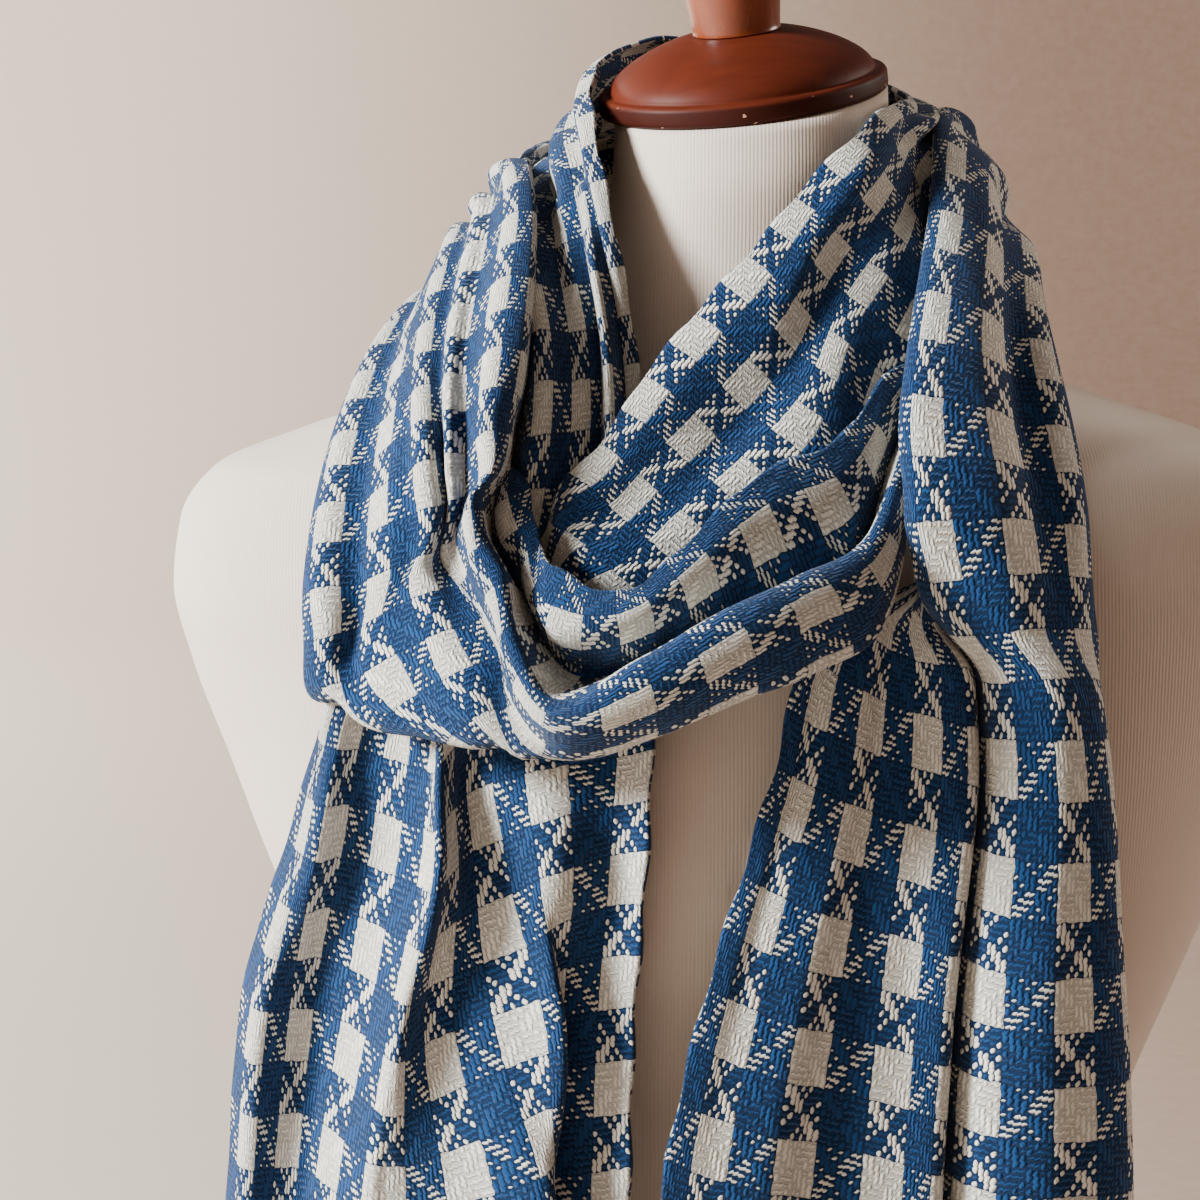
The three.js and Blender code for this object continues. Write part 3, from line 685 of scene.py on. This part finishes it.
def chosen(n, switch, when_off, when_on):
    """One of two numbers, by a switch that is 0 or 1."""
    return n.math("ADD", when_off, n.math("MULTIPLY", switch, n.math("SUBTRACT", when_on, when_off)))


# Yarns, in shares of a crossing of one end and one pick
GRAIN_TAPER = 0.55               # over which a float's end rounds off
THINNEST = 0.001                 # keeps a float's width above 0
WARP_INSET, WEFT_INSET = 0.05, 0.15  # bare at either end of a float
WARP_HALF_WIDTH, WEFT_HALF_WIDTH = 0.46, 0.26
YARN_SLANT = 0.28                # how far a float leans over one crossing, from its twist
YARN_WANDER = 0.75               # how far a yarn strays, to both sides together

# Colours and relief of the cloth
BLUE_DARK, BLUE_LIGHT = linear(6, 25, 60), linear(25, 80, 138)
CREAM_DARK, CREAM_LIGHT = linear(194, 187, 172), linear(249, 247, 239)
BLUE_GAP_SHADE, CREAM_GAP_SHADE = 0.4, 0.66  # of its full colour that a yarn keeps between floats: painted shade in the gaps
FLOAT_EDGE = 0.12                # of a float's height, where a cream one lets a blue yarn under it show
WEAVE_RELIEF = 0.65              # mm
FUZZ_RELIEF = 0.45               # of a float's height


def grain(n, along, across, goes_back, goes_on, inset, half_width):
    """Height of the yarn that lies on top: round, with tapered ends where it dives, and 0 outside it."""
    to_start = n.math("ADD", along, n.math("MULTIPLY", goes_back, 2.0))
    to_end = n.math("ADD", n.math("SUBTRACT", 1.0, along), n.math("MULTIPLY", goes_on, 2.0))
    nearest = n.math("SUBTRACT", n.math("MINIMUM", to_start, to_end), inset)
    taper = n.math("MINIMUM", n.math("MAXIMUM", n.math("DIVIDE", nearest, GRAIN_TAPER), THINNEST), 1.0)
    round_end = n.math("SQRT", n.math("MULTIPLY", taper, n.math("SUBTRACT", 2.0, taper)))
    width = n.math("MULTIPLY", half_width, round_end)
    side = n.math("DIVIDE", n.math("ABSOLUTE", n.math("SUBTRACT", across, 0.5)), width)
    return n.math("SQRT", n.math("MAXIMUM", n.math("SUBTRACT", 1.0, n.math("MULTIPLY", side, side)), 0.0))


def in_cream_band(n, number, per_band):
    """1 for a yarn in a cream band and 0 in a blue one, by the yarn's number."""
    in_pair = n.math("FLOORED_MODULO", number, 2.0 * per_band)
    return n.math("GREATER_THAN", in_pair, per_band - 0.5)


def cloth_material():
    """Handwoven blue and cream cotton, each yarn drawn from the weave chart in its own height and tone, with
    painted shade in the gaps between floats.
    """
    material = bpy.data.materials.new("scarf_cloth")
    material.use_nodes = True
    n = Nodes(material.node_tree)
    chart = weave_group()
    yarn_counts = n.split(n.add("ShaderNodeUVMap", uv_map="weave").outputs[0])
    u = n.math("MULTIPLY", yarn_counts[0], float(UV_SCALE))
    v = n.math("MULTIPLY", yarn_counts[1], float(UV_SCALE))
    stray_u = n.math("MULTIPLY", n.math("SUBTRACT", n.noise(n.vector(u, v), 0.55, 1), 0.5), YARN_WANDER)
    stray_v = n.math("MULTIPLY", n.math("SUBTRACT", n.noise(n.vector(v, u, 7.0), 0.6, 1), 0.5), YARN_WANDER)
    u = n.math("ADD", u, stray_u)
    v = n.math("ADD", v, stray_v)
    pick = n.math("FLOOR", v)
    in_pick = n.math("SUBTRACT", v, pick)
    end = n.math("FLOOR", u)
    in_end = n.math("SUBTRACT", u, end)

    def warp_at(end_shift, pick_shift):
        node = n.add("ShaderNodeGroup", node_tree=chart)
        n.link(n.math("ADD", end, float(end_shift)), node.inputs["End"])
        n.link(n.math("ADD", pick, float(pick_shift)), node.inputs["Pick"])
        return node.outputs[0]

    here = warp_at(0, 0)
    warp_cream = in_cream_band(n, end, ENDS_PER_STRIPE)
    weft_cream = in_cream_band(n, pick, PICKS_PER_BAND)
    top_cream = chosen(n, here, weft_cream, warp_cream)
    under_cream = chosen(n, here, warp_cream, weft_cream)
    along = chosen(n, here, in_end, in_pick)
    leaning = n.math("MULTIPLY", n.math("SUBTRACT", along, 0.5), YARN_SLANT)
    across = n.math("ADD", chosen(n, here, in_pick, in_end), leaning)
    goes_back = chosen(n, here, n.math("SUBTRACT", 1.0, warp_at(-1, 0)), warp_at(0, -1))
    goes_on = chosen(n, here, n.math("SUBTRACT", 1.0, warp_at(1, 0)), warp_at(0, 1))
    half_width = chosen(n, here, WEFT_HALF_WIDTH, WARP_HALF_WIDTH)
    inset = chosen(n, here, WEFT_INSET, WARP_INSET)
    height = grain(n, along, across, goes_back, goes_on, inset, half_width)
    inside = n.math("GREATER_THAN", height, FLOAT_EDGE)
    cream = n.math("MULTIPLY", top_cream, n.math("MAXIMUM", inside, under_cream))
    warp_shade = n.noise(n.vector(n.math("MULTIPLY", end, 7.31), n.math("MULTIPLY", v, 0.25)), 1.0, 1)
    weft_shade = n.noise(n.vector(n.math("MULTIPLY", u, 0.25), n.math("MULTIPLY", pick, 5.77), 3.0), 1.0, 1)
    shade = chosen(n, here, weft_shade, warp_shade)
    fuzz = n.noise(n.vector(u, v, 1.5), 3.2, 2, 0.65)
    tone = n.math("ADD", n.math("MULTIPLY", shade, 0.55), n.math("MULTIPLY", fuzz, 0.45))
    blue_yarn = n.mix(tone, BLUE_DARK, BLUE_LIGHT)
    cream_yarn = n.mix(tone, CREAM_DARK, CREAM_LIGHT)
    colour = n.mix(cream, blue_yarn, cream_yarn)
    # Painted shade: a yarn's colour darkens with its height towards the gaps between floats
    gap_shade = chosen(n, cream, BLUE_GAP_SHADE, CREAM_GAP_SHADE)
    depth_shade = n.math("ADD", gap_shade, n.math("MULTIPLY", height, n.math("SUBTRACT", 1.0, gap_shade)))
    dark = n.add("ShaderNodeMix", data_type="RGBA", blend_type="MULTIPLY")
    dark.inputs["Factor"].default_value = 1.0
    n.link(colour, dark.inputs[6])
    n.link(n.vector(depth_shade, depth_shade, depth_shade), dark.inputs[7])
    relief = n.math("ADD", height, n.math("MULTIPLY", fuzz, FUZZ_RELIEF))
    return finished(n, material, dark.outputs[2], relief, WEAVE_RELIEF, 0.92,
                    specular=0.12, sheen=0.12, strength=1.0)
def started(name):
    """A new material, its node builder, and the place in the world of each point that it colours."""
    material = bpy.data.materials.new(name)
    material.use_nodes = True
    n = Nodes(material.node_tree)
    place = n.add("ShaderNodeNewGeometry").outputs["Position"]
    return material, n, place


def stretched(n, place, x, y, z):
    """A place squeezed by a factor along each axis, so that noise looked up there comes out long."""
    node = n.add("ShaderNodeVectorMath", operation="MULTIPLY")
    n.link(place, node.inputs[0])
    node.inputs[1].default_value = (x, y, z)
    return node.outputs[0]


def jersey_material():
    """Off-white cotton jersey with fine vertical ribs, painted shade in their grooves, a little soiled."""
    material, n, place = started("form_cover")
    around = n.split(n.add("ShaderNodeUVMap", uv_map="jersey").outputs[0])[0]
    bend = n.math("MULTIPLY", n.noise(place, 30.0, 1), JERSEY_BEND * MM)
    turns = n.math("MULTIPLY", n.math("ADD", around, bend), 2 * math.pi / (JERSEY_RIB * MM))
    rib = n.math("ADD", n.math("MULTIPLY", n.math("COSINE", turns), 0.5), 0.5)
    stitches = n.noise(stretched(n, place, 1, 1, 0.6), 1500.0, 1)
    soil = n.noise(place, 9.0, 3, 0.6)
    # Painted shade: the colour darkens in the grooves between ribs
    rib_groove_shade = n.math("MULTIPLY", rib, 0.18)
    patchy_tone = n.math("ADD", n.math("MULTIPLY", soil, 0.5), n.math("MULTIPLY", stitches, 0.2))
    tone = n.math("ADD", rib_groove_shade, patchy_tone)
    colour = n.mix(tone, linear(188, 170, 154), linear(230, 216, 203))
    relief = n.math("ADD", rib, n.math("MULTIPLY", stitches, 0.4))
    return finished(n, material, colour, relief, 0.08, 0.9, specular=0.15)


def cut_centre(lift):
    """A point above the middle of the cap's underside, along its axis, in mm."""
    foot = Vector((CAP_CENTRE_X, 0, NECK_TOP + PIECE_GAP + NECK_TILT_SIDE * CAP_CENTRE_X))
    return foot + CUT_NORMAL * lift


def axis_height(n, place):
    """Height in mm above the cap's underside, measured along the cap's axis."""
    dot = n.add("ShaderNodeVectorMath", operation="DOT_PRODUCT")
    n.link(place, dot.inputs[0])
    dot.inputs[1].default_value = CUT_NORMAL / MM
    return n.math("SUBTRACT", dot.outputs["Value"], cut_centre(0).dot(CUT_NORMAL))


def mahogany_material():
    """Turned red-brown wood: long grain, a darker band round the rim and small worn spots in it."""
    material, n, place = started("cap_wood")
    height = axis_height(n, place)
    grain_run = n.noise(stretched(n, place, 0.16, 1, 1), 210.0, 5, 0.62)
    figure = n.noise(stretched(n, place, 0.3, 1, 0.6), 38.0, 3, 0.55)
    tone = n.math("ADD", n.math("MULTIPLY", grain_run, 0.5), n.math("MULTIPLY", figure, 0.5))
    wood = n.mix(tone, linear(44, 14, 7), linear(104, 40, 20))
    above_band = n.math("SUBTRACT", height, CAP_RIM - RIM_BAND_STOP)
    rim = n.math("SUBTRACT", 1.0, n.math("MINIMUM", n.math("MAXIMUM", above_band, 0.0), 1.0))
    wood = n.mix(n.math("MULTIPLY", rim, 0.72), wood, linear(36, 12, 9))
    worn = n.math("GREATER_THAN", n.noise(stretched(n, place, 1, 1, 1.6), 330.0, 2, 0.5), 0.69)
    edge = n.math("MULTIPLY", rim, n.math("GREATER_THAN", n.noise(place, 45.0, 1), 0.5))
    wood = n.mix(n.math("MULTIPLY", n.math("MULTIPLY", worn, edge), 0.85), wood, linear(214, 170, 140))
    roughness = n.math("ADD", 0.42, n.math("MULTIPLY", grain_run, 0.2))
    return finished(n, material, wood, grain_run, 0.1, roughness, specular=0.12)


def honey_material():
    """Honey-coloured varnished wood with dark streaks up its length."""
    material, n, place = started("finial_wood")
    streaks = n.noise(stretched(n, place, 1, 1, 0.08), 420.0, 4, 0.6)
    figure = n.noise(stretched(n, place, 1, 1, 0.3), 60.0, 3, 0.5)
    tone = n.math("ADD", n.math("MULTIPLY", streaks, 0.45), n.math("MULTIPLY", figure, 0.55))
    wood = n.mix(tone, linear(72, 24, 8), linear(146, 64, 24))
    roughness = n.math("ADD", 0.18, n.math("MULTIPLY", streaks, 0.15))
    return finished(n, material, wood, streaks, 0.06, roughness, coat=0.25)


def board_material():
    """Plain varnished board with its grain along its length."""
    material, n, place = started("base_wood")
    grain_run = n.noise(stretched(n, place, 0.08, 1, 0.7), 140.0, 5, 0.6)
    figure = n.noise(stretched(n, place, 0.2, 1, 1), 22.0, 2, 0.5)
    tone = n.math("ADD", n.math("MULTIPLY", grain_run, 0.5), n.math("MULTIPLY", figure, 0.5))
    wood = n.mix(tone, linear(84, 44, 22), linear(160, 98, 56))
    roughness = n.math("ADD", 0.35, n.math("MULTIPLY", grain_run, 0.2))
    return finished(n, material, wood, grain_run, 0.1, roughness, coat=0.15)


def paint_material():
    """Warm grey paint, faintly rolled, with painted light and shade that darken it from left to right over
    floor and wall.
    """
    material, n, place = started("wall_paint")
    rolled = n.noise(place, 60.0, 3, 0.6)
    rightwards = n.split(place)[0]
    # Painted light and shade: pale at the left, darkening towards the right
    shaded = n.add("ShaderNodeMapRange", interpolation_type="SMOOTHSTEP")
    n.link(rightwards, shaded.inputs["Value"])
    shaded.inputs["From Min"].default_value = PAINTED_LIGHT_X
    shaded.inputs["From Max"].default_value = PAINTED_SHADE_X
    base = n.mix(shaded.outputs[0], linear(218, 204, 190), linear(132, 105, 88))
    colour = n.mix(n.math("MULTIPLY", rolled, 0.12), base, linear(235, 224, 212))
    return finished(n, material, colour, rolled, 0.4, 0.9, specular=0.2)


def rounded_reach(angles, half, depth):
    """Distance from the axis to a rounded-square plan, in the direction of each angle."""
    return (np.abs(np.sin(angles) / half) ** FORM_SQUARE
            + np.abs(np.cos(angles) / depth) ** FORM_SQUARE) ** (-1 / FORM_SQUARE)


def section_curve(heights, column):
    """A column of the form's sections at any height, on a curve that never overshoots them."""
    z, values = FORM_SECTIONS[:, 0], FORM_SECTIONS[:, column]
    gaps, slopes = np.diff(z), np.diff(values) / np.diff(z)
    tangents = np.zeros(len(z))
    tangents[0], tangents[-1] = slopes[0], slopes[-1]
    for k in range(1, len(z) - 1):
        if slopes[k - 1] * slopes[k] > 0:
            w1, w2 = 2 * gaps[k] + gaps[k - 1], gaps[k] + 2 * gaps[k - 1]
            tangents[k] = (w1 + w2) / (w1 / slopes[k - 1] + w2 / slopes[k])
    i = np.clip(np.searchsorted(z, heights) - 1, 0, len(gaps) - 1)
    t = (heights - z[i]) / gaps[i]
    return hermite(t, values[i], values[i + 1], gaps[i] * tangents[i], gaps[i] * tangents[i + 1])


def closed_rings(name, rings):
    """A closed body from a stack of rings, with a flat fan at each end."""
    count, sides = rings.shape[:2]
    points = rings.reshape(-1, 3).tolist() + [rings[0].mean(0).tolist(), rings[-1].mean(0).tolist()]
    foot, crown = count * sides, count * sides + 1
    faces = []
    for k in range(sides):
        nxt = (k + 1) % sides
        faces += [[i * sides + k, i * sides + nxt, (i + 1) * sides + nxt, (i + 1) * sides + k]
                  for i in range(count - 1)]
        faces += [[foot, nxt, k], [crown, (count - 1) * sides + k, (count - 1) * sides + nxt]]
    mesh = bpy.data.meshes.new(name)
    mesh.from_pydata((np.array(points) * MM).tolist(), [], faces)
    return new_object(name, mesh)


def make_form(material):
    """The padded body; its UV map holds the way round from the centre front, and the height."""
    sides, steps = 160, 7
    z = FORM_SECTIONS[:, 0]
    between = [np.linspace(a, b, steps, endpoint=False) for a, b in zip(z[:-1], z[1:])]
    heights = np.concatenate([*between, z[-1:]])
    angles = np.linspace(-math.pi, math.pi, sides, endpoint=False)
    rings = []
    for height in heights:
        half, front, back = (section_curve(np.array([height]), k)[0] for k in (1, 2, 3))
        reach = rounded_reach(angles, half, np.where(np.cos(angles) >= 0, front, back))
        x, y = reach * np.sin(angles), -reach * np.cos(angles)
        slope = max(0, (height - NECK_SLOPE_FROM) / (NECK_TOP - NECK_SLOPE_FROM))
        rings.append(np.stack([x, y, height + slope * (NECK_TILT_SIDE * x + NECK_TILT_FRONT * y)], 1))
    rings = np.array(rings)
    form = closed_rings("dress_form_body", rings)
    round_trip = np.concatenate([rings, rings[:, :1]], 1)
    around = np.cumsum(np.linalg.norm(np.diff(round_trip, axis=1), axis=2), axis=1)
    around = np.concatenate([np.zeros((len(rings), 1)), around], 1)
    around -= around[:, [sides // 2]]
    layer = form.data.uv_layers.new(name="jersey")
    for polygon in form.data.polygons:
        sides_here = [form.data.loops[k].vertex_index % sides for k in polygon.loop_indices]
        at_seam = max(sides_here) == sides - 1
        for k in polygon.loop_indices:
            vertex = form.data.loops[k].vertex_index
            if vertex < len(rings) * sides:
                ring, side = divmod(vertex, sides)
                side = sides if at_seam and side == 0 else side
                layer.data[k].uv = (around[ring, side] * MM, rings[ring, side % sides, 2] * MM)
    dress(form, material, "form_body")


def turned_rings(profile, sides):
    """A ring of points round the upright axis for each radius and height of a profile."""
    angles = np.linspace(0, 2 * math.pi, sides, endpoint=False)
    return np.array([[(r * math.sin(a), -r * math.cos(a), z) for a in angles] for r, z in profile])


def make_turned(name, node, profile, sides, place, material):
    """A turned wooden piece from a profile of radius and height, standing square to the neck's cut."""
    turn = np.array(Vector((0, 0, 1)).rotation_difference(CUT_NORMAL).to_matrix())
    piece = closed_rings(name, turned_rings(profile, sides) @ turn.T + np.array(place))
    dress(piece, material, node)


def make_cap_and_finial(cap_material, finial_material):
    """The neck's turned cap, with a rounded rim and a dome, and the knob on top of it."""
    quarter = np.linspace(0, math.pi / 2, EDGE_STEPS)
    inner = CAP_RADIUS - RIM_ROUND
    rim_foot = [(inner + RIM_ROUND * math.sin(a), RIM_ROUND - RIM_ROUND * math.cos(a)) for a in quarter]
    rim_top = [(inner + RIM_ROUND * math.cos(a), CAP_RIM - RIM_ROUND + RIM_ROUND * math.sin(a))
               for a in quarter]
    dome_foot = CAP_RADIUS - 2 * RIM_ROUND
    dome = [(CAP_COLLAR + (dome_foot - CAP_COLLAR) * math.cos(a) ** 1.6,
             CAP_RIM + (CAP_DOME - CAP_RIM) * math.sin(a) ** 1.15) for a in np.linspace(0, math.pi / 2, 24)]
    profile = [(1, 0), *rim_foot, *rim_top, *dome, (2, CAP_DOME)]
    make_turned("cap_turned", "neck_cap", profile, 128, cut_centre(0), cap_material)
    h = FINIAL_HEIGHT
    shape = np.array([(FINIAL_NECK, 0), (FINIAL_NECK, 3), (FINIAL_WAIST, h * 0.3), (FINIAL_BULB, h * 0.55),
                      (FINIAL_BULB * 0.97, h * 0.72), (FINIAL_BULB * 0.78, h * 0.88),
                      (FINIAL_BULB * 0.42, h * 0.97), (0.5, h)])
    fine = smooth_between(shape, np.linspace(0, len(shape) - 1, 60))
    make_turned("finial_turned", "finial", [(1, 0), *fine.tolist()], 96, cut_centre(CAP_DOME + PIECE_GAP),
                finial_material)


def make_base(material):
    """The oval board under the form, with rounded edges."""
    angles = np.linspace(0, 2 * math.pi, 128, endpoint=False)
    quarter = np.linspace(0, math.pi / 2, EDGE_STEPS)
    levels = [(BASE_ROUND * (1 - math.sin(a)), BASE_ROUND * (1 - math.cos(a))) for a in quarter]
    profile = levels + [(inset, BASE_THICK - low) for inset, low in reversed(levels)]
    rings = np.array([[((BASE_HALF_WIDTH - inset) * math.sin(a),
                        BASE_CENTRE_Y - (BASE_HALF_DEPTH - inset) * math.cos(a),
                        z) for a in angles] for inset, z in profile])
    base = closed_rings("base_turned_edge", rings)
    dress(base, material, "base_board")


def make_stage():
    """A pale floor that curves up into a far wall on every side, out of reach of every view's camera."""
    turn = [(STAGE_FLAT + STAGE_BEND * math.sin(a), STAGE_BEND - STAGE_BEND * math.cos(a))
            for a in np.linspace(0, math.pi / 2, 24)]
    profile = [(0.01, 0), (STAGE_FLAT / 2, 0), *turn, (STAGE_FLAT + STAGE_BEND, STAGE_WALL)]
    rings = turned_rings(profile, 96)
    count, sides = rings.shape[:2]
    faces = [[i * sides + k, (i + 1) * sides + k,
              (i + 1) * sides + (k + 1) % sides, i * sides + (k + 1) % sides]
             for i in range(count - 1) for k in range(sides)]
    faces.append(list(range(sides)))
    mesh = bpy.data.meshes.new("floor")
    mesh.from_pydata(rings.reshape(-1, 3).tolist(), [], faces)
    floor = new_object("floor", mesh)
    floor.data.materials.append(paint_material())


def area_light(name, place, aim, size, power, colour):
    """A round area light at a place, aimed at a point, in metres and watts."""
    data = bpy.data.lights.new(name, "AREA")
    data.shape = "DISK"
    data.size = size
    data.energy = power
    data.color = colour
    light = bpy.data.objects.new(name, data)
    light.location = place
    light.rotation_euler = (Vector(aim) - Vector(place)).to_track_quat("-Z", "Y").to_euler()
    bpy.context.scene.collection.objects.link(light)


def make_lights():
    """A soft key light from the left, a weak warm one from the right, and one on the stage behind."""
    world = bpy.data.worlds.new("studio")
    bpy.context.scene.world = world
    world.use_nodes = True
    background = world.node_tree.nodes["Background"]
    background.inputs["Color"].default_value = (1.0, 0.84, 0.74, 1)
    background.inputs["Strength"].default_value = 0.19
    chest = (0, -0.05, 0.5)
    area_light("key", (-2.6, -0.78, 1.7), chest, 0.9, 350, (0.95, 0.99, 1.0))
    area_light("side_fill", (2.6, 0.9, 1.5), chest, 1.4, 50, (1.0, 0.88, 0.78))
    area_light("wall_wash", (-2.3, 2.6, 1.7), (-1.1, 3.5, 0.2), 1.5, 135, (1.0, 0.95, 0.89))


make_scarf(cloth_material())
make_form(jersey_material())
make_cap_and_finial(mahogany_material(), honey_material())
make_base(board_material())
make_stage()
make_lights()
